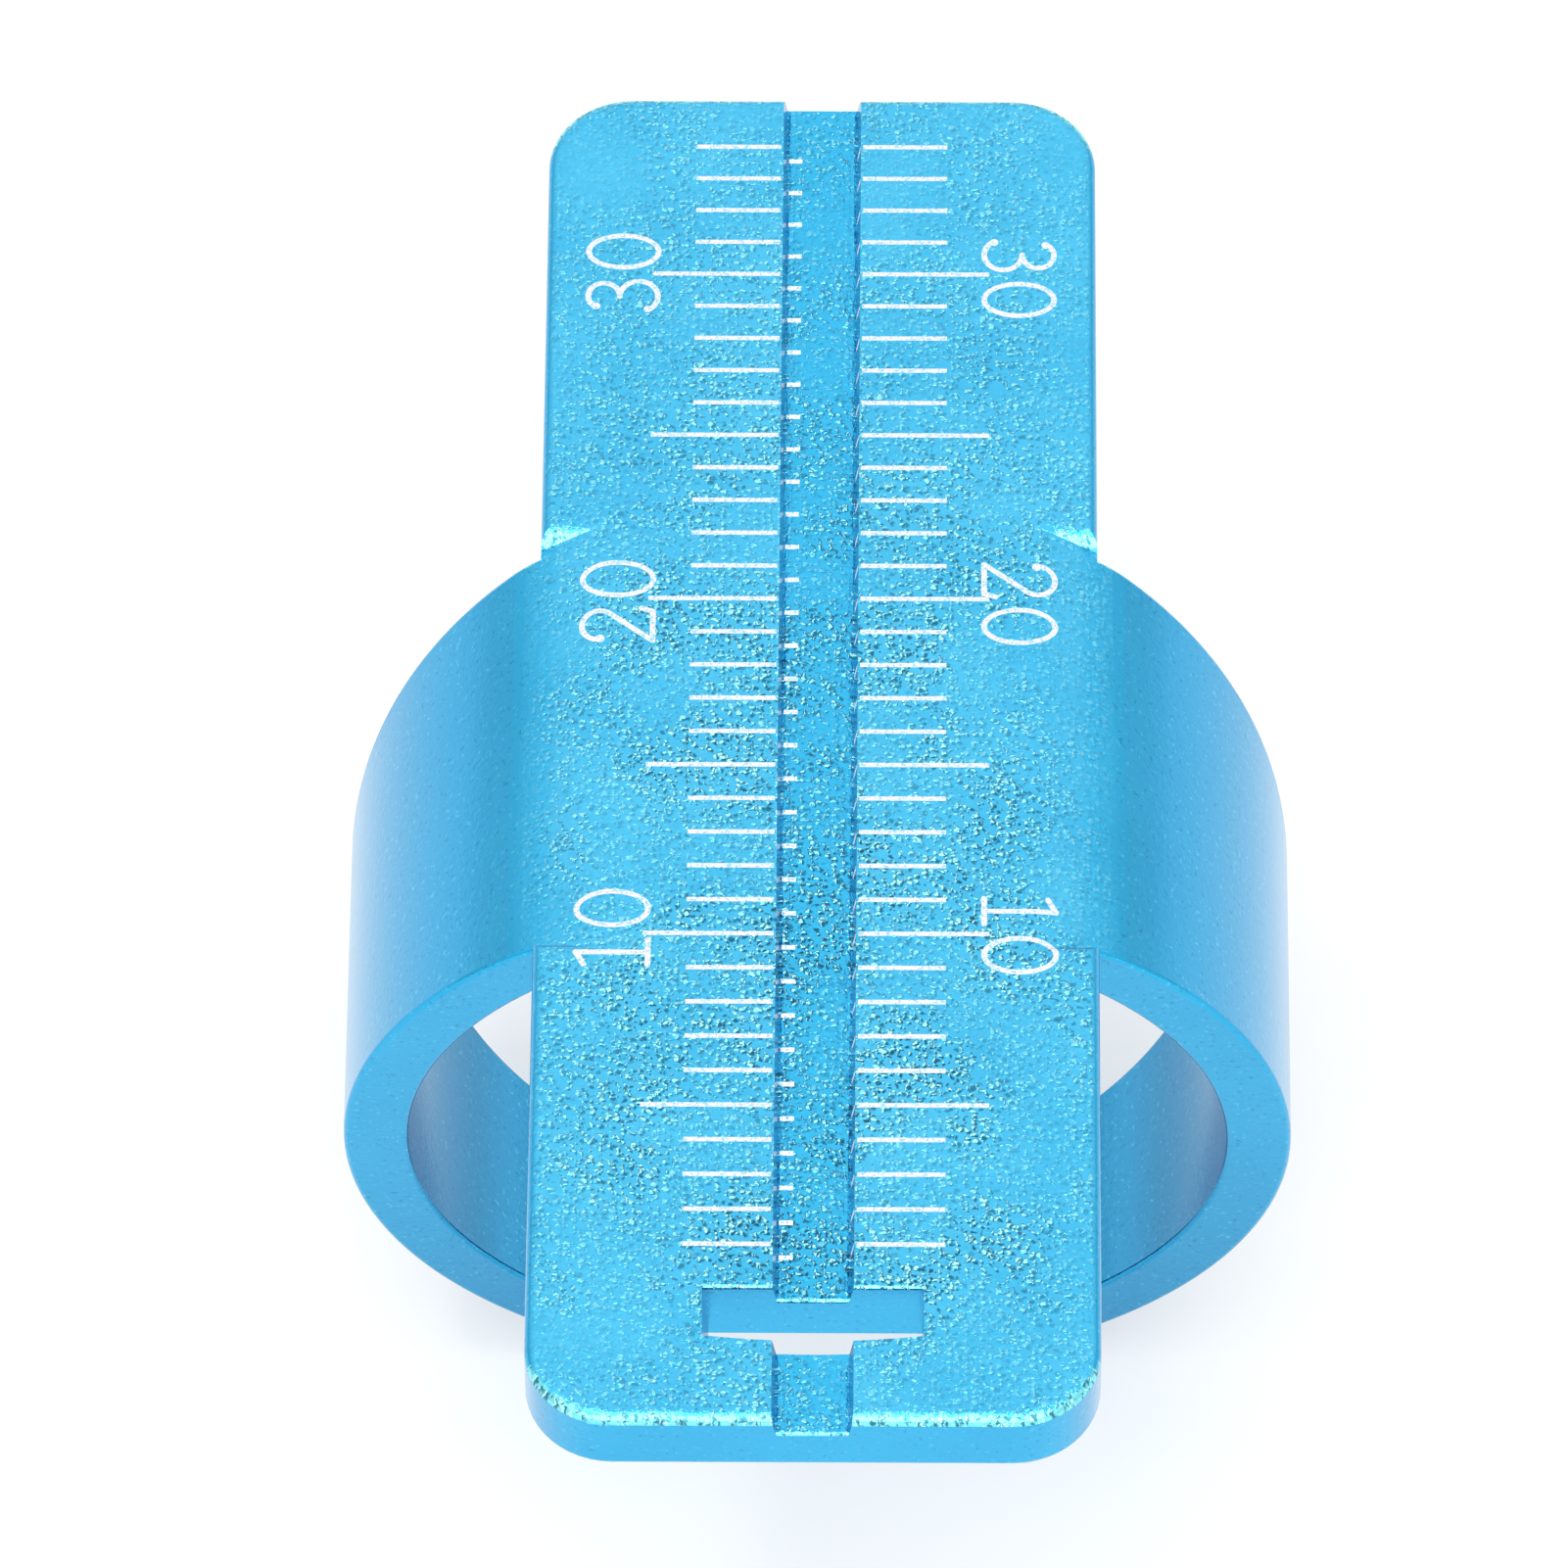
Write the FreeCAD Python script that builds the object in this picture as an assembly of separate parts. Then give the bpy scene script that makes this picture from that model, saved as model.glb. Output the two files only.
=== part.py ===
"""Finger ruler: a flat millimetre plate on a tapered finger band.

Frame: X across the plate, Y along it with the scale rising towards +Y, Z up.
The origin is on the axis of the finger hole, midway along the hole's wall.
"""
import FreeCAD, Part
import math
import os

V = FreeCAD.Vector

# Plate
PLATE_WIDTH = 13.75
PLATE_LENGTH = 39.6
PLATE_THICKNESS = 2.0
CORNER_RADIUS = 2.1
TOP_EDGE_ROUND = 0.3
BOTTOM_EDGE_ROUND = 0.2

# Finger band
BAND_OUTER_RADIUS = 11.75
BAND_INNER_RADIUS = 10.15
TOP_ABOVE_AXIS = 9.9
SHOULDER_START = 5.1
NEAR_FACE_Y = 9.73
NEAR_FACE_SLOPE = 0.074
FAR_FACE_Y = 21.7
FAR_FACE_SLOPE = 0.283
NEAR_RUNOUT = 0.25
FAR_RUNOUT = 0.6
RUNOUT_DEPTH = 0.6
OUTER_RIM_ROUND = 0.12
INNER_RIM_ROUND = 0.1

# Opening at the bottom of the band, between its two rounded ends
GAP_WIDTH = 7.0
GAP_END_ROUND = 1.5

# Groove along the plate and slot across it; Y is counted from the scale's zero
NEAR_END_Y = -4.0
GROOVE_TOP_WIDTH = 1.95
GROOVE_FLOOR_WIDTH = 1.75
GROOVE_DEPTH = 0.6
SLOT_LENGTH = 5.3
SLOT_FAR_Y = -0.24
SLOT_NEAR_Y = -1.6
SLOT_BOW = 0.16
SLOT_DRAFT = {-1: 0.13, 1: 0.04}
NEAR_EDGE_ROUND = 0.1

# Laser marks
MARK_DEPTH = 0.05
LINE_COUNT = 34
LINE_WIDTH = 0.13
LINE_START = 1.03
SHORT_LINE_END = 3.15
LONG_LINE_END = 4.2
LONG_EVERY = 5
STUB_START = 0.84
STUB_LENGTH = 0.34
TICK_DROP = (0.07, 0.52)
DIGIT_CENTRE_X = 4.95
DIGIT_HEIGHT = 1.89
DIGIT_DRAWN = 2.0
DIGIT_STROKE = 0.15
DIGIT_PRISM = 2.0

# Per numeral: pitch of its two digits, then its shift along the scale on the left and right
NUMERALS = {10: (1.29, 0.08, 0.03), 20: (1.4, -0.12, -0.12), 30: (1.37, 0.0, -0.1)}

# Height of the plate's top and the place along Y of the scale's zero
TOP_Z = TOP_ABOVE_AXIS
HOLE_NEAR_Y = NEAR_FACE_Y + NEAR_FACE_SLOPE * PLATE_THICKNESS
HOLE_FAR_Y = FAR_FACE_Y - FAR_FACE_SLOPE * PLATE_THICKNESS
ZERO_Y = -0.5 * (HOLE_NEAR_Y + HOLE_FAR_Y)
FAR_END_Y = NEAR_END_Y + PLATE_LENGTH


def prism_x(points, half_width):
    """Prism along X from (y, z) points, symmetric about the YZ plane."""
    wire = Part.makePolygon([V(-half_width, y, z) for y, z in points + points[:1]])
    return Part.Face(wire).extrude(V(2 * half_width, 0, 0))


def prism_y(edges, y0, y1):
    """Prism along Y from a closed chain of edges drawn in the plane y = 0."""
    face = Part.Face(Part.Wire(edges))
    face.translate(V(0, y0, 0))
    return face.extrude(V(0, y1 - y0, 0))


def arc(centre, radius, a0, a1):
    """Arc in the XZ plane through its middle angle; angles in degrees from +X."""
    cx, cz = centre
    spots = [math.radians(a) for a in (a0, 0.5 * (a0 + a1), a1)]
    return Part.Arc(*[V(cx + radius * math.cos(a), 0, cz + radius * math.sin(a)) for a in spots]).toShape()


def line(p, q):
    return Part.makeLine(V(p[0], 0, p[1]), V(q[0], 0, q[1]))


def shoulder():
    """Radius and end angle of the arc that blends the flat top into the band."""
    r = BAND_OUTER_RADIUS**2 - TOP_ABOVE_AXIS**2 - SHOULDER_START**2
    r /= 2 * (BAND_OUTER_RADIUS - TOP_ABOVE_AXIS)
    return r, math.degrees(math.atan2(TOP_ABOVE_AXIS - r, SHOULDER_START))


def shoulder_height(x):
    """Z of the rounded shoulder at x, between the flat top and the band's circle."""
    r, _ = shoulder()
    return TOP_Z - r + math.sqrt(r * r - (x - SHOULDER_START) ** 2)


def outer_edges():
    """Outside of the band: a circle with a flat top and two blended shoulders."""
    r, angle = shoulder()
    right, left = (SHOULDER_START, TOP_Z - r), (-SHOULDER_START, TOP_Z - r)
    return [
        line((-SHOULDER_START, TOP_Z), (SHOULDER_START, TOP_Z)),
        arc(right, r, 90, angle),
        arc((0, 0), BAND_OUTER_RADIUS, angle, -180 - angle),
        arc(left, r, 180 - angle, 90),
    ]


def plate_section():
    """Plate under the band's shoulders, as wide as the plate."""
    r, _ = shoulder()
    half, e = 0.5 * PLATE_WIDTH, BOTTOM_EDGE_ROUND
    drop = math.degrees(math.acos((half - SHOULDER_START) / r))
    side, base = shoulder_height(half), TOP_Z - PLATE_THICKNESS
    edges = [
        line((-SHOULDER_START, TOP_Z), (SHOULDER_START, TOP_Z)),
        arc((SHOULDER_START, TOP_Z - r), r, 90, drop),
        line((half, side), (half, base + e)),
        arc((half - e, base + e), e, 0, -90),
        line((half - e, base), (e - half, base)),
        arc((e - half, base + e), e, -90, -180),
        line((-half, base + e), (-half, side)),
        arc((-SHOULDER_START, TOP_Z - r), r, 180 - drop, 90),
    ]
    y0, y1 = ZERO_Y + NEAR_FACE_Y - NEAR_RUNOUT, ZERO_Y + FAR_FACE_Y + FAR_RUNOUT
    return prism_y(edges, y0, y1)


def end_slab(outer_y, inner_y, runout):
    """Full-width end of the plate, rounded down to the shoulders where they begin."""
    low, high = min(outer_y, inner_y), max(outer_y, inner_y)
    base, half = TOP_Z - PLATE_THICKNESS, 0.5 * PLATE_WIDTH
    body = Part.makeBox(PLATE_WIDTH, high - low, PLATE_THICKNESS, V(-half, low, base))
    body = body.makeFillet(CORNER_RADIUS, [e for e in body.Edges if spans_z_at(e, outer_y)])
    body = body.makeFillet(TOP_EDGE_ROUND, rim_edges(body, TOP_Z, inner_y))
    body = body.makeFillet(BOTTOM_EDGE_ROUND, rim_edges(body, base, inner_y))
    return body.cut(runout_cutter(inner_y, runout, 1 if inner_y > outer_y else -1))


def runout_cutter(inner_y, runout, way):
    """Prism above the arc that leaves the flat top level and drops to the slab's inner end."""
    drop = min(RUNOUT_DEPTH, runout)
    r = (runout**2 + drop**2) / (2 * drop)
    turn = 0.5 * math.asin(runout / r)
    brow_y, reach = inner_y - way * runout, 0.5 * PLATE_WIDTH + 1
    beyond = inner_y + way
    spots = [(brow_y, TOP_Z), (brow_y + way * r * math.sin(turn), TOP_Z - r * (1 - math.cos(turn)))]
    spots += [(inner_y, TOP_Z - drop), (beyond, TOP_Z - drop), (beyond, TOP_Z + 1), (brow_y, TOP_Z + 1)]
    points = [V(-reach, y, z) for y, z in spots]
    edges = [Part.Arc(*points[:3]).toShape()]
    edges += [Part.makeLine(p, q) for p, q in zip(points[2:], points[3:] + points[:1])]
    return Part.Face(Part.Wire(edges)).extrude(V(2 * reach, 0, 0))


def spans_z_at(edge, y):
    box = edge.BoundBox
    return box.ZLength > 1 and abs(box.YMin - y) < 1e-4 and box.YLength < 1e-4


def rim_edges(body, z, inner_y):
    """Outline edges of a slab at height z, all but the straight one at inner_y."""
    found = []
    for edge in body.Edges:
        box = edge.BoundBox
        level = abs(box.ZMin - z) < 1e-4 and abs(box.ZMax - z) < 1e-4
        if level and not (abs(box.YMin - inner_y) < 1e-4 and box.YLength < 1e-4):
            found.append(edge)
    return found


def plate_blank():
    near = end_slab(ZERO_Y + NEAR_END_Y, ZERO_Y + NEAR_FACE_Y, NEAR_RUNOUT)
    far = end_slab(ZERO_Y + FAR_END_Y, ZERO_Y + FAR_FACE_Y, FAR_RUNOUT)
    return near.fuse([plate_section(), far]).removeSplitter()


def groove():
    """Channel along the whole plate for the instrument, walls slightly sloped."""
    top, floor, rise = 0.5 * GROOVE_TOP_WIDTH, 0.5 * GROOVE_FLOOR_WIDTH, 0.5
    out = top + (top - floor) * rise / GROOVE_DEPTH
    corners = [
        (-out, TOP_Z + rise),
        (out, TOP_Z + rise),
        (floor, TOP_Z - GROOVE_DEPTH),
        (-floor, TOP_Z - GROOVE_DEPTH),
    ]
    edges = [line(p, q) for p, q in zip(corners, corners[1:] + corners[:1])]
    return prism_y(edges, ZERO_Y + NEAR_END_Y - 1, ZERO_Y + FAR_END_Y + 1)


def slot():
    """Cross slot right through the plate; its near wall bows out and its ends lean in."""
    half, z = 0.5 * SLOT_LENGTH, TOP_Z - PLATE_THICKNESS - 1
    far, near = ZERO_Y + SLOT_FAR_Y, ZERO_Y + SLOT_NEAR_Y
    a, b, c, d = V(-half, near, z), V(half, near, z), V(half, far, z), V(-half, far, z)
    bow = Part.Arc(a, V(0, near - SLOT_BOW, z), b).toShape()
    wire = Part.Wire([bow, Part.makeLine(b, c), Part.makeLine(c, d), Part.makeLine(d, a)])
    upright = Part.Face(wire).extrude(V(0, 0, PLATE_THICKNESS + 2))
    left, right = SLOT_DRAFT[-1] / PLATE_THICKNESS, SLOT_DRAFT[1] / PLATE_THICKNESS
    rise, fall = 1, PLATE_THICKNESS + 1
    corners = [
        (-half - left * rise, TOP_Z + rise),
        (half + right * rise, TOP_Z + rise),
        (half - right * fall, TOP_Z - fall),
        (-half + left * fall, TOP_Z - fall),
    ]
    edges = [line(p, q) for p, q in zip(corners, corners[1:] + corners[:1])]
    return upright.common(prism_y(edges, near - 1, far + 1))


def is_near_edge(edge):
    """Straight edge along X that faces the scale's near end: slot's far lip or groove's end."""
    box = edge.BoundBox
    if box.XLength < 1 or max(box.YLength, box.ZLength) > 1e-4:
        return False
    at_slot = abs(box.YMin - ZERO_Y - SLOT_FAR_Y) < 1e-3
    at_end = abs(box.YMin - ZERO_Y - NEAR_END_Y) < 1e-3
    level = abs(box.ZMin - TOP_Z) < 1e-3
    floor = abs(box.ZMin - TOP_Z + GROOVE_DEPTH) < 1e-3
    return (at_slot and (level or floor)) or (at_end and floor)


def band_arm(plate):
    """Right arm of the band: from the plate's side down to its rounded end at the gap."""
    y0, y1 = ZERO_Y + NEAR_FACE_Y - 1, ZERO_Y + FAR_FACE_Y + 1
    bore = Part.makeCylinder(BAND_INNER_RADIUS, y1 - y0 + 2, V(0, y0 - 1, 0), V(0, 1, 0))
    low, reach = -2 * BAND_OUTER_RADIUS, BAND_OUTER_RADIUS + 2
    near = [face_point(NEAR_FACE_Y, -NEAR_FACE_SLOPE, z) for z in (TOP_Z + 1, low)]
    far = [face_point(FAR_FACE_Y, FAR_FACE_SLOPE, z) for z in (low, TOP_Z + 1)]
    body = prism_y(outer_edges(), y0, y1).cut(bore).common(prism_x(near + far, reach))
    right_side = Part.makeBox(reach, 4 * reach, 4 * reach, V(0.5 * GAP_WIDTH, -2 * reach, -2 * reach))
    body = body.common(right_side)
    body = body.makeFillet(GAP_END_ROUND, [e for e in body.Edges if is_gap_corner(e)])
    body = body.makeFillet(OUTER_RIM_ROUND, [e for e in body.Edges if is_rim(e, on_outside)])
    body = body.makeFillet(INNER_RIM_ROUND, [e for e in body.Edges if is_rim(e, on_inside)])
    return body.cut(plate)


def is_gap_corner(edge):
    """Short edge through the wall at one corner of the arm's end."""
    box = edge.BoundBox
    return box.ZMax < 0 and box.YLength < 0.5 and abs(box.XMin + box.XMax - GAP_WIDTH) < 1e-3


def is_rim(edge, on_surface):
    """Edge on one curved surface of the band, other than the straight ones along Y at its top."""
    first, last = edge.ParameterRange
    box = edge.BoundBox
    along_top = box.ZMin > 0 and max(box.XLength, box.ZLength) < 1e-3
    return not along_top and all(on_surface(edge.valueAt(u)) for u in (first, 0.5 * (first + last), last))


def on_inside(p):
    return abs(math.hypot(p.x, p.z) - BAND_INNER_RADIUS) < 1e-3


def on_outside(p):
    r, _ = shoulder()
    flat = abs(p.z - TOP_Z) < 1e-3
    blended = p.z > 0 and abs(math.hypot(p.x - SHOULDER_START, p.z - TOP_Z + r) - r) < 1e-3
    return flat or blended or abs(math.hypot(p.x, p.z) - BAND_OUTER_RADIUS) < 1e-3


def face_point(y_top, slope, z):
    return ZERO_Y + y_top + slope * (z - TOP_Z), z


# ---- Laser marks: drawn flat, then sunk into the surface they lie on ----


def sink(outline, blank):
    """The top layer of the blank, MARK_DEPTH thick, under an upright outline solid."""
    lowered = blank.copy()
    lowered.translate(V(0, 0, -MARK_DEPTH))
    return outline.common(blank).cut(lowered)


def scale_line(side, number, x0, x1, z_top):
    """Outline solid of one scale line or stub, from x0 to x1 on one side."""
    x = x0 if side > 0 else -x1
    y = ZERO_Y + number - 0.5 * LINE_WIDTH
    return Part.makeBox(x1 - x0, LINE_WIDTH, MARK_DEPTH, V(x, y, z_top - MARK_DEPTH))


def scale_lines(side, long_ones):
    """All long or all short lines on one side, as one compound."""
    end = LONG_LINE_END if long_ones else SHORT_LINE_END
    numbers = [n for n in range(1, LINE_COUNT + 1) if is_long(n) == long_ones]
    return Part.makeCompound([scale_line(side, n, LINE_START, end, TOP_Z) for n in numbers])


def is_long(number):
    return number % LONG_EVERY == 0


def groove_stubs():
    """Where the laser ran on over the groove's left side: short dashes on its floor."""
    z = TOP_Z - GROOVE_DEPTH
    x0, x1 = STUB_START - STUB_LENGTH, STUB_START
    return Part.makeCompound([scale_line(-1, n, x0, x1, z) for n in range(1, LINE_COUNT + 1)])


def wall_ticks():
    """Where it ran on down the groove's right wall: short ticks sunk into the wall."""
    top, lean = 0.5 * GROOVE_TOP_WIDTH, 0.5 * (GROOVE_TOP_WIDTH - GROOVE_FLOOR_WIDTH) / GROOVE_DEPTH
    high, low = TICK_DROP
    corners = [(top - lean * high, TOP_Z - high), (top - lean * low, TOP_Z - low)]
    corners += [(x + MARK_DEPTH, z) for x, z in corners[::-1]]
    edges = [line(p, q) for p, q in zip(corners, corners[1:] + corners[:1])]
    places = [ZERO_Y + n - 0.5 * LINE_WIDTH for n in range(1, LINE_COUNT + 1)]
    return Part.makeCompound([prism_y(edges, y, y + LINE_WIDTH) for y in places])


def disc(x, y, r):
    return Part.Face(Part.Wire(Part.makeCircle(r, V(x, y, 0))))


def stroke_line(p, q):
    """Straight stroke with round ends."""
    w = 0.5 * DIGIT_STROKE
    a, b = V(p[0], p[1], 0), V(q[0], q[1], 0)
    n = (b - a).cross(V(0, 0, 1)).normalize() * w
    bar = Part.Face(Part.makePolygon([a + n, b + n, b - n, a - n, a + n]))
    return [bar, disc(p[0], p[1], w), disc(q[0], q[1], w)]


def stroke_arc(c, r, a0, a1):
    """Curved stroke with round ends; angles in degrees, a0 to a1 anticlockwise."""
    w = 0.5 * DIGIT_STROKE
    ends = [(c[0] + r * math.cos(math.radians(a)), c[1] + r * math.sin(math.radians(a))) for a in (a0, a1)]
    spots = [math.radians(a) for a in (a0, 0.5 * (a0 + a1), a1)]
    rims = []
    for rim in (r - w, r + w):
        rims.append([V(c[0] + rim * math.cos(a), c[1] + rim * math.sin(a), 0) for a in spots])
    inner, outer = rims
    wire = Part.Wire(
        [
            Part.Arc(*inner).toShape(),
            Part.makeLine(inner[2], outer[2]),
            Part.Arc(*outer[::-1]).toShape(),
            Part.makeLine(outer[0], inner[0]),
        ]
    )
    return [Part.Face(wire)] + [disc(x, y, w) for x, y in ends]


def joined(faces):
    """One upright solid over a set of overlapping flat faces."""
    solids = [face.extrude(V(0, 0, DIGIT_PRISM)) for face in faces]
    return solids[0].fuse(solids[1:]).removeSplitter() if solids[1:] else solids[0]


def digit_zero():
    """Upright oval; every digit is drawn DIGIT_DRAWN tall about its own centre."""
    tall, wide, s = 0.5 * DIGIT_DRAWN, 0.6, DIGIT_STROKE
    centre, up = V(0, 0, 0), V(0, 1, 0)
    rims = []
    for a, b in ((tall, wide), (tall - s, wide - s)):
        ellipse = Part.Ellipse(V(0, a, 0), V(b, 0, 0), centre)
        rims.append(Part.Face(Part.Wire(ellipse.toShape())))
    return joined([rims[0].cut(rims[1])])


def digit_one():
    top, foot = 0.925, -0.925
    parts = stroke_line((0, foot), (0, top)) + stroke_line((-0.38, 0.72), (0, top))
    return joined(parts + stroke_line((-0.4, foot), (0.4, foot)))


def digit_two():
    """Round head, slanting neck and a flat foot with an upturned end."""
    r, foot = 0.46, -0.925
    head = (0.0, 0.925 - r)
    neck = (head[0] + r * math.cos(math.radians(-30)), head[1] + r * math.sin(math.radians(-30)))
    parts = stroke_arc(head, r, -30, 180) + [disc(head[0] - r + 0.03, head[1] - 0.02, 0.12)]
    parts += stroke_line(neck, (-0.5, foot)) + stroke_line((-0.5, foot), (0.44, foot))
    return joined(parts + stroke_line((0.44, foot), (0.54, foot + 0.3)))


def digit_three():
    """Two bowls, the lower one larger, each starting from a dot."""
    upper, lower = 0.42, 0.505
    top, low = (-0.02, 0.925 - upper), (-0.04, lower - 0.925)
    parts = stroke_arc(top, upper, -90, 150) + stroke_arc(low, lower, -150, 90)
    for c, r, a in ((top, upper, 150), (low, lower, -150)):
        x, y = c[0] + (r - 0.03) * math.cos(math.radians(a)), c[1] + (r - 0.03) * math.sin(math.radians(a))
        parts.append(disc(x, y, 0.11))
    return joined(parts)


DIGITS = {"0": digit_zero, "1": digit_one, "2": digit_two, "3": digit_three}


def numeral(number, side, blank):
    """Two digits astride their long line, feet towards the groove."""
    pitch, shift_left, shift_right = NUMERALS[number]
    shift = shift_left if side < 0 else shift_right
    solids = []
    for place, char in enumerate(str(number)):
        shape = DIGITS[char]()
        shape.scale(DIGIT_HEIGHT / DIGIT_DRAWN)
        shape.translate(V((place - 0.5) * pitch, 0, -0.5 * DIGIT_PRISM))
        shape.rotate(V(0, 0, 0), V(0, 0, 1), -90 * side)
        shape.translate(V(side * DIGIT_CENTRE_X, ZERO_Y + number + shift, TOP_Z))
        solids += sink(shape, blank).Solids
    return Part.makeCompound(solids)


def marks(blank):
    found = {}
    for side, word in ((-1, "left"), (1, "right")):
        found["millimetre_lines_" + word] = scale_lines(side, False)
        found["five_lines_" + word] = scale_lines(side, True)
        for number in NUMERALS:
            found["numeral_%d_%s" % (number, word)] = numeral(number, side, blank)
    found["groove_dashes_left"] = groove_stubs()
    found["groove_ticks_right"] = wall_ticks()
    return found


def main():
    blank = plate_blank()
    nodes = marks(blank)
    plate = blank.cut(groove()).cut(slot())
    plate = plate.makeFillet(NEAR_EDGE_ROUND, [e for e in plate.Edges if is_near_edge(e)])
    arm = band_arm(blank)
    nodes["ruler_plate"] = plate.cut([s for shape in nodes.values() for s in shape.Solids])
    nodes["finger_band_right"] = arm
    nodes["finger_band_left"] = arm.mirror(V(0, 0, 0), V(1, 0, 0))
    os.makedirs("parts", exist_ok=True)
    for name, shape in nodes.items():
        shape.exportStep("parts/%s.step" % name)
        print(name, len(shape.Solids), "solids", round(shape.Volume, 4), "mm3", shape.isValid())


main()
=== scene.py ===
import math
import bpy
from mathutils import Matrix, Vector


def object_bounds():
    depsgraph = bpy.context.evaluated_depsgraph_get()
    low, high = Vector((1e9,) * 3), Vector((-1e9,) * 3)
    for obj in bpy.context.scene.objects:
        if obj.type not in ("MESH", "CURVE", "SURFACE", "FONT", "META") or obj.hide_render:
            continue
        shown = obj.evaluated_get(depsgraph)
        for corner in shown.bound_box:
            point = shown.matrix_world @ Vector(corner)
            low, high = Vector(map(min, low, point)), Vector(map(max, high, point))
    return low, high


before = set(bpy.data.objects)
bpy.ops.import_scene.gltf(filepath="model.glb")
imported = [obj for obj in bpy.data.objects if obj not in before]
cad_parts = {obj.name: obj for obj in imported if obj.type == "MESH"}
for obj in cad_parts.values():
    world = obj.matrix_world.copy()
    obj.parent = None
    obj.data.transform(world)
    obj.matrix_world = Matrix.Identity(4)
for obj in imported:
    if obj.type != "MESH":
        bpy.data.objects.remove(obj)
cad_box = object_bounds()

MM = 0.001

# Colours of the dyed metal and of the painted highlights and shade on it, as linear RGB; a pair gives
# the two ends of a cloudy variation
PALE_DYE = ((0.046, 0.445, 0.735), (0.070, 0.505, 0.790))
DEEP_DYE = ((0.012, 0.37, 0.67), (0.016, 0.41, 0.72))
STEEP_FACES = (0.010, 0.31, 0.59, 1)
# Painted shade: the band darkened towards its bottom, near the floor
LOW_FACES_PAINTED_SHADE = (0.005, 0.20, 0.42, 1)
# Painted shade: the groove's side walls darkened as if in shadow
CUT_WALLS_PAINTED_SHADE = (0.003, 0.19, 0.41, 1)
GROOVE_FLOOR = (0.020, 0.43, 0.75, 1)
MOTTLING = (0.02, 0.36, 0.62, 1)
BRIGHT_FLECKS = (0.12, 0.62, 0.80, 1)
DARK_FLECKS = (0.002, 0.15, 0.30, 1)
# Painted highlight on the rounded end edges, also standing for dye rubbed thin there
WORN_DYE_AND_GLINT = (0.20, 0.74, 0.82, 1)
# Painted shade: a dark spot beside each dome, on one fixed side
DOME_SHADE_PAINT = (0.0, 0.09, 0.17, 1)
# Painted highlight: a pale glint on each dome
DOME_GLINT_PAINT = (0.42, 0.98, 0.98, 1)
MARK_BREAKS = (0.20, 0.46, 0.62)

# Where the looks change, in the frame's millimetres: from, to
PLATE_Z = (7.5, 9.0)
TOP_EDGE_Z = (9.0, 9.2)
ABOVE_GROOVE_FLOOR_Z = (9.5, 9.7)
LOW_Z = (-11.0, 3.0)
THINNING_Y = (-4.0, 21.0)
NEAR_END_Y = (-17.5, -15.5)
NEAR_RIM_Y = -6.0
FROM_NEAR_RIM = (3.0, 5.0)
BESIDE_SCALE_X = (3.5, 6.8)
GROOVE_SIDE_X = (0.8, 0.9)
OUTSIDE_CUTS_X = (2.9, 3.1)

# Heights of the bumps, in metres
METAL_BUMP = 0.00012
MARK_BUMP = 0.00004


def node(tree, kind, inputs=None, **props):
    """A shader node with its properties and input values; a (node, socket) pair is linked."""
    made = tree.nodes.new(kind)
    for name, value in props.items():
        setattr(made, name, value)
    for name, value in (inputs or {}).items():
        if isinstance(value, tuple) and hasattr(value[0], "outputs"):
            tree.links.new(value[0].outputs[value[1]], made.inputs[name])
        else:
            made.inputs[name].default_value = value
    return made


def new_material(name):
    """An empty node material and its tree."""
    mat = bpy.data.materials.new(name)
    mat.use_nodes = True
    mat.node_tree.nodes.clear()
    return mat, mat.node_tree


# The functions from ramp() to dye() return (node, socket) pairs, ready to be linked


def ramp(t, source, stops):
    """Grey or colour read off a ramp of two stops."""
    made = node(t, "ShaderNodeValToRGB", {"Fac": source})
    for element, (spot, value) in zip(made.color_ramp.elements, stops):
        element.position = spot
        element.color = (value, value, value, 1) if isinstance(value, float) else (*value, 1)
    return made, 0


def maths(t, operation, *values):
    return node(t, "ShaderNodeMath", dict(enumerate(values)), operation=operation), 0


def vector_maths(t, operation, *values):
    return node(t, "ShaderNodeVectorMath", dict(enumerate(values)), operation=operation), 0


def product(t, first, *others):
    for other in others:
        first = maths(t, "MULTIPLY", first, other)
    return first


def smooth(t, source, low, high, at_low=0.0, at_high=1.0):
    """Smooth step from at_low to at_high as source goes from low to high."""
    values = {"Value": source, "From Min": low, "From Max": high, "To Min": at_low, "To Max": at_high}
    return node(t, "ShaderNodeMapRange", values, interpolation_type="SMOOTHSTEP"), 0


def noise(t, place, scale, detail, roughness=0.5, output=0):
    """Noise with features about 1 / scale mm wide; output 0 is its value and 1 its colour."""
    values = {"Vector": place, "Scale": scale, "Detail": detail, "Roughness": roughness}
    return node(t, "ShaderNodeTexNoise", values), output


def blend(t, factor, first, second):
    """Mixes two colours."""
    return node(t, "ShaderNodeMix", {0: factor, 6: first, 7: second}, data_type="RGBA"), 2


def millimetres(t):
    """Object coordinates in millimetres; the CAD nodes' objects sit at the frame's origin."""
    where = node(t, "ShaderNodeTexCoord")
    return vector_maths(t, "MULTIPLY", (where, "Object"), (1000, 1000, 1000))


def cell_spots(t, place, offset, density, reach, sparse):
    """Soft round spots in irregular cells, shifted by an offset in millimetres."""
    moved = vector_maths(t, "ADD", place, offset)
    cells = node(t, "ShaderNodeTexVoronoi", {"Vector": moved, "Scale": density}, voronoi_dimensions="2D")
    pick = node(t, "ShaderNodeSeparateColor", {"Color": (cells, "Color")})
    size = maths(t, "MULTIPLY_ADD", (pick, 1), 0.35, 0.75)
    distance = maths(t, "DIVIDE", (cells, "Distance"), size)
    spot = smooth(t, distance, 0.35 * reach, reach, 1.0, 0.0)
    chosen = smooth(t, (pick, 0), sparse, sparse + 0.25)
    return product(t, spot, chosen)


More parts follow.
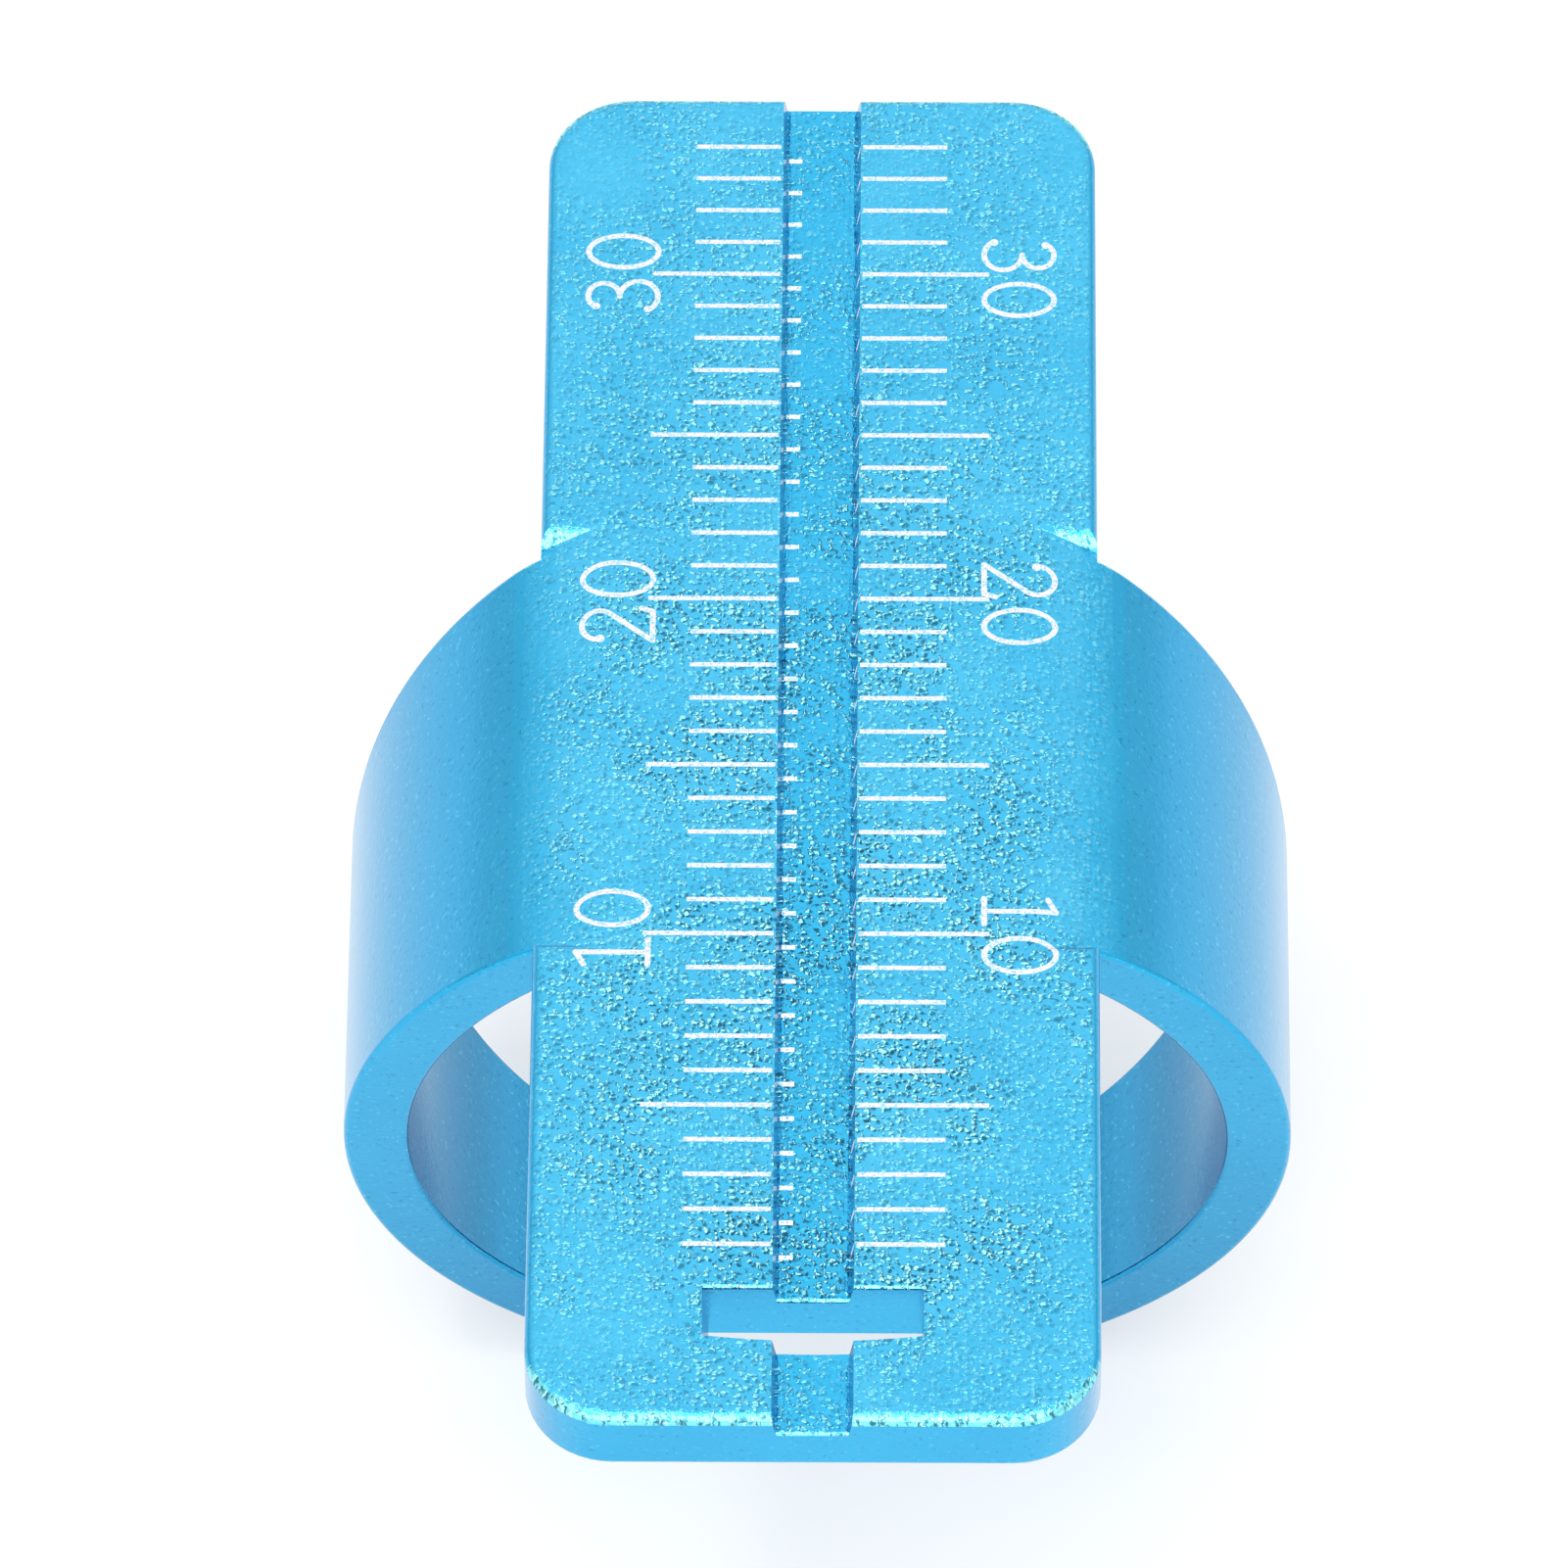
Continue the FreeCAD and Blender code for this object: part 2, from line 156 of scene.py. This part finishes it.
def worn_and_glinting_edges(t, y, z, facing, grain):
    """Painted highlight on the rounded edges of the two ends, the cross slot and the far junction, also
    standing for dye rubbed thin there.
    """
    ragged = maths(t, "MULTIPLY_ADD", grain, 0.8, (facing, 2))
    leaning = smooth(t, ragged, 1.38, 1.24, 0.0, 0.95)
    not_steep = smooth(t, (facing, 2), 0.05, 0.25)
    top_edge = smooth(t, z, *TOP_EDGE_Z)
    lengthwise = smooth(t, maths(t, "ABSOLUTE", (facing, 1)), 0.12, 0.3)
    from_near_rim = maths(t, "ABSOLUTE", maths(t, "ADD", y, -NEAR_RIM_Y))
    off_near_rim = smooth(t, from_near_rim, *FROM_NEAR_RIM)
    return product(t, leaning, not_steep, top_edge, lengthwise, off_near_rim)


def blast_spots_and_painted_light(t, mm, y, across, blasted, worn_and_glint):
    """Dome spots of the blast, which also carry painted glints, and painted shade spots beside them;
    thinner in patches, beside the scale and far away.
    """
    along = smooth(t, y, *THINNING_Y, 1.0, 0.4)
    patchy = smooth(t, noise(t, mm, 0.45, 2.0), 0.35, 0.6, 0.35, 1.0)
    beside = smooth(t, across, *BESIDE_SCALE_X, 1.0, 0.55)
    near_end = smooth(t, y, *NEAR_END_Y, 0.55, 1.0)
    amount = product(t, blasted, along, patchy, beside, near_end)
    # the painted edge highlight band gets spots too
    amount = maths(t, "MAXIMUM", amount, product(t, worn_and_glint, 0.9))

    # each painted shade spot lies beside a dome, on one fixed side
    wobble = noise(t, mm, 7.0, 1.0, output=1)
    place = vector_maths(t, "MULTIPLY_ADD", wobble, (0.22, 0.18, 0.0), mm)
    domes_and_glints = cell_spots(t, place, (0.0, 0.0, 0.0), 5.0, 0.34, 0.35)
    dome_shades = cell_spots(t, place, (-0.06, 0.07, 0.0), 5.0, 0.40, 0.05)
    small_domes_and_glints = cell_spots(t, place, (0.35, 0.8, 0.0), 8.0, 0.36, 0.5)
    small_dome_shades = cell_spots(t, place, (0.31, 0.85, 0.0), 8.0, 0.38, 0.35)
    domes_and_glints = product(t, maths(t, "MAXIMUM", domes_and_glints, small_domes_and_glints), amount)
    dome_shades = product(t, maths(t, "MAXIMUM", dome_shades, small_dome_shades), amount)
    return domes_and_glints, dome_shades


def surface_bump(t, mm, across, blasted, grain, domes_and_glints):
    """Pebbled and domed where blasted, with fine lengthwise tool marks on the groove's floor."""
    stretched = vector_maths(t, "MULTIPLY", mm, (9.0, 0.5, 1.0))
    in_groove = smooth(t, across, *GROOVE_SIDE_X, 0.25, 0.0)
    tool_marks = product(t, noise(t, stretched, 1.0, 2.0), in_groove, blasted)
    pebbles = product(t, grain, maths(t, "MULTIPLY_ADD", blasted, 0.34, 0.07))
    height = maths(t, "MULTIPLY_ADD", domes_and_glints, 0.22, pebbles)
    height = maths(t, "ADD", height, tool_marks)
    return node(t, "ShaderNodeBump", {"Strength": 1.0, "Distance": METAL_BUMP, "Height": height}), 0


def dye(t, mm, z, across, sideways, blasted, grain):
    """The dye before edge wear, the painted edge highlight and the spots: paler where blasted, deeper on
    steep sides and on the groove floor, with painted shade low on the band and on the groove's side
    walls.
    """
    cloud = noise(t, mm, 0.3, 2.0)
    pale, deep = (ramp(t, cloud, [(0.3, ends[0]), (0.7, ends[1])]) for ends in (PALE_DYE, DEEP_DYE))
    tint = blend(t, smooth(t, sideways, 0.5, 0.95), deep, STEEP_FACES)
    # painted shade: darker towards the bottom of the band
    tint = blend(t, smooth(t, z, *LOW_Z, 0.6, 0.0), tint, LOW_FACES_PAINTED_SHADE)
    tint = blend(t, blasted, tint, pale)
    # painted shade on the groove's side walls
    cut_wall_shade = product(t, smooth(t, sideways, 0.7, 0.9), smooth(t, across, *OUTSIDE_CUTS_X, 1.0, 0.0))
    tint = blend(t, cut_wall_shade, tint, CUT_WALLS_PAINTED_SHADE)
    groove = product(t, smooth(t, z, *ABOVE_GROOVE_FLOOR_Z, 0.75, 0.0), blasted)
    tint = blend(t, groove, tint, GROOVE_FLOOR)
    tint = blend(t, smooth(t, grain, 0.35, 0.65, 0.0, 0.25), tint, MOTTLING)

    # sparse fine flecks on the smooth faces
    smoother = maths(t, "SUBTRACT", 1.0, blasted)
    dust = noise(t, mm, 8.0, 1.0)
    bright = product(t, smooth(t, dust, 0.64, 0.74, 0.0, 0.4), smoother)
    dark = product(t, smooth(t, dust, 0.36, 0.26, 0.0, 0.45), smoother)
    tint = blend(t, bright, tint, BRIGHT_FLECKS)
    return blend(t, dark, tint, DARK_FLECKS)


def anodised_blue():
    """Satin blue over blasted metal: pitted and sparkling on top, smooth on the band; painted glints and
    painted shade spots at each dome, a painted highlight on the rounded end edges, painted shade on the
    groove's side walls and low on the band.
    """
    mat, t = new_material("blue_anodised_aluminium")
    mm = millimetres(t)
    axes = node(t, "ShaderNodeSeparateXYZ", {0: mm})
    y, z = (axes, 1), (axes, 2)
    across = maths(t, "ABSOLUTE", (axes, 0))
    normal = node(t, "ShaderNodeNewGeometry")
    facing = node(t, "ShaderNodeSeparateXYZ", {0: (normal, "True Normal")})
    sideways = maths(t, "ABSOLUTE", (facing, 0))

    blasted = product(t, smooth(t, (facing, 2), 0.78, 0.985), smooth(t, z, *PLATE_Z))
    grain = noise(t, mm, 5.0, 3.0, 0.65)
    worn_and_glint = worn_and_glinting_edges(t, y, z, facing, grain)
    domes_and_glints, dome_shades = blast_spots_and_painted_light(t, mm, y, across, blasted, worn_and_glint)
    bump = surface_bump(t, mm, across, blasted, grain, domes_and_glints)
    tint = dye(t, mm, z, across, sideways, blasted, grain)
    # painted highlight along the rounded end edges, also dye rubbed thin there
    tint = blend(t, worn_and_glint, tint, WORN_DYE_AND_GLINT)
    # painted shade spots beside each dome
    tint = blend(t, dome_shades, tint, DOME_SHADE_PAINT)
    # painted glints on each dome
    tint = blend(t, domes_and_glints, tint, DOME_GLINT_PAINT)
    values = {
        "Base Color": tint,
        "Metallic": 1.0,
        "Roughness": 0.22,
        "Normal": bump,
        "Coat Weight": 0.35,
        "Coat Roughness": 0.2,
        "Coat IOR": 1.5,
        "Coat Normal": bump,
    }
    bsdf = node(t, "ShaderNodeBsdfPrincipled", values)
    node(t, "ShaderNodeOutputMaterial", {"Surface": (bsdf, 0)})
    return mat


def laser_white(name, level):
    """Bleached skin of the laser marks: white with fine bluish breaks; level is its reflectance."""
    mat, t = new_material(name)
    speck = noise(t, millimetres(t), 13.0, 2.0)
    tint = ramp(t, speck, [(0.36, MARK_BREAKS), (0.47, (level, level, 1.04 * level))])
    bump = node(t, "ShaderNodeBump", {"Strength": 1.0, "Distance": MARK_BUMP, "Height": speck}), 0
    bsdf = node(t, "ShaderNodeBsdfPrincipled", {"Base Color": tint, "Roughness": 0.55, "Normal": bump})
    node(t, "ShaderNodeOutputMaterial", {"Surface": (bsdf, 0)})
    return mat


blue = anodised_blue()
white = laser_white("laser_white", 0.57)
# the marks in the groove get a brighter copy of the same white, painted light that offsets the groove's
# shade
white_painted_brighter_in_groove = laser_white("laser_white_painted_brighter_in_groove", 0.85)
for name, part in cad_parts.items():
    for slot in part.material_slots:
        if name.startswith(("ruler", "finger")):
            slot.material = blue
        elif name.startswith("groove"):
            slot.material = white_painted_brighter_in_groove
        else:
            slot.material = white

# ---- Camera: looks down along the plate from its near end, turned and rolled a little ----
TARGET = Vector((-0.81, -1.086, 9.9)) * MM
DISTANCE = 362.7 * MM
TILT = math.radians(55)
YAW, ROLL = -0.0142, -0.0078
look = Vector((math.sin(YAW) * math.cos(TILT), math.cos(YAW) * math.cos(TILT), -math.sin(TILT)))
side = Vector((math.cos(YAW), -math.sin(YAW), 0))
up = side.cross(look)
right = math.cos(ROLL) * side + math.sin(ROLL) * up
top = -math.sin(ROLL) * side + math.cos(ROLL) * up
camera_data = bpy.data.cameras.new("camera")
camera_data.sensor_width = 36
camera_data.lens = 341.0
camera_data.clip_start = 0.01
camera_data.clip_end = 20
camera = bpy.data.objects.new("camera", camera_data)
place = Matrix((right, top, -look)).transposed().to_4x4()
place.translation = TARGET - DISTANCE * look
camera.matrix_world = place
bpy.context.scene.collection.objects.link(camera)
bpy.context.scene.camera = camera

# ---- Floor: a square, in metres, under the object's lowest point ----
FLOOR_HALF = 2
floor_z = cad_box[0][2]
corners = [(x * FLOOR_HALF, y * FLOOR_HALF, floor_z) for x, y in ((-1, -1), (1, -1), (1, 1), (-1, 1))]
mesh = bpy.data.meshes.new("floor")
mesh.from_pydata(corners, [], [(0, 1, 2, 3)])
floor = bpy.data.objects.new("floor", mesh)
bpy.context.scene.collection.objects.link(floor)
mat, t = new_material("floor_white")
values = {
    "Base Color": (0.55, 0.55, 0.55, 1),
    "Roughness": 0.8,
    "Emission Color": (1, 1, 1, 1),
    "Emission Strength": 0.3,
}
bsdf = node(t, "ShaderNodeBsdfPrincipled", values)
node(t, "ShaderNodeOutputMaterial", {"Surface": (bsdf, 0)})
mesh.materials.append(mat)

# ---- World: a pale sky, brighter overhead ----
world = bpy.data.worlds.new("studio")
world.use_nodes = True
t = world.node_tree
t.nodes.clear()
where = node(t, "ShaderNodeTexCoord")
way = node(t, "ShaderNodeSeparateXYZ", {0: (where, "Generated")})
sky = ramp(t, (way, 2), [(0.0, 0.86), (0.7, 1.25)])
background = node(t, "ShaderNodeBackground", {"Color": sky, "Strength": 1.0})
node(t, "ShaderNodeOutputWorld", {"Surface": (background, 0)})
bpy.context.scene.world = world


def soft_light(name, place, size, size_y, radiance):
    """A rectangular softbox aimed at the origin; its power follows from its face's radiance."""
    data = bpy.data.lights.new(name, "AREA")
    data.shape = "RECTANGLE"
    data.size = size
    data.size_y = size_y
    data.energy = radiance * math.pi * size * size_y
    lamp = bpy.data.objects.new(name, data)
    lamp.location = place
    lamp.rotation_euler = (Vector() - Vector(place)).to_track_quat("-Z", "Y").to_euler()
    bpy.context.scene.collection.objects.link(lamp)


soft_light("front_top", (0, -0.16, 0.55), 0.4, 0.2, 2.6)
soft_light("front", (0, -0.55, 0.38), 0.9, 0.6, 1.9)
soft_light("spark", (-0.16, -0.08, 0.58), 0.06, 0.06, 30.0)

bpy.context.scene.view_settings.view_transform = "Standard"
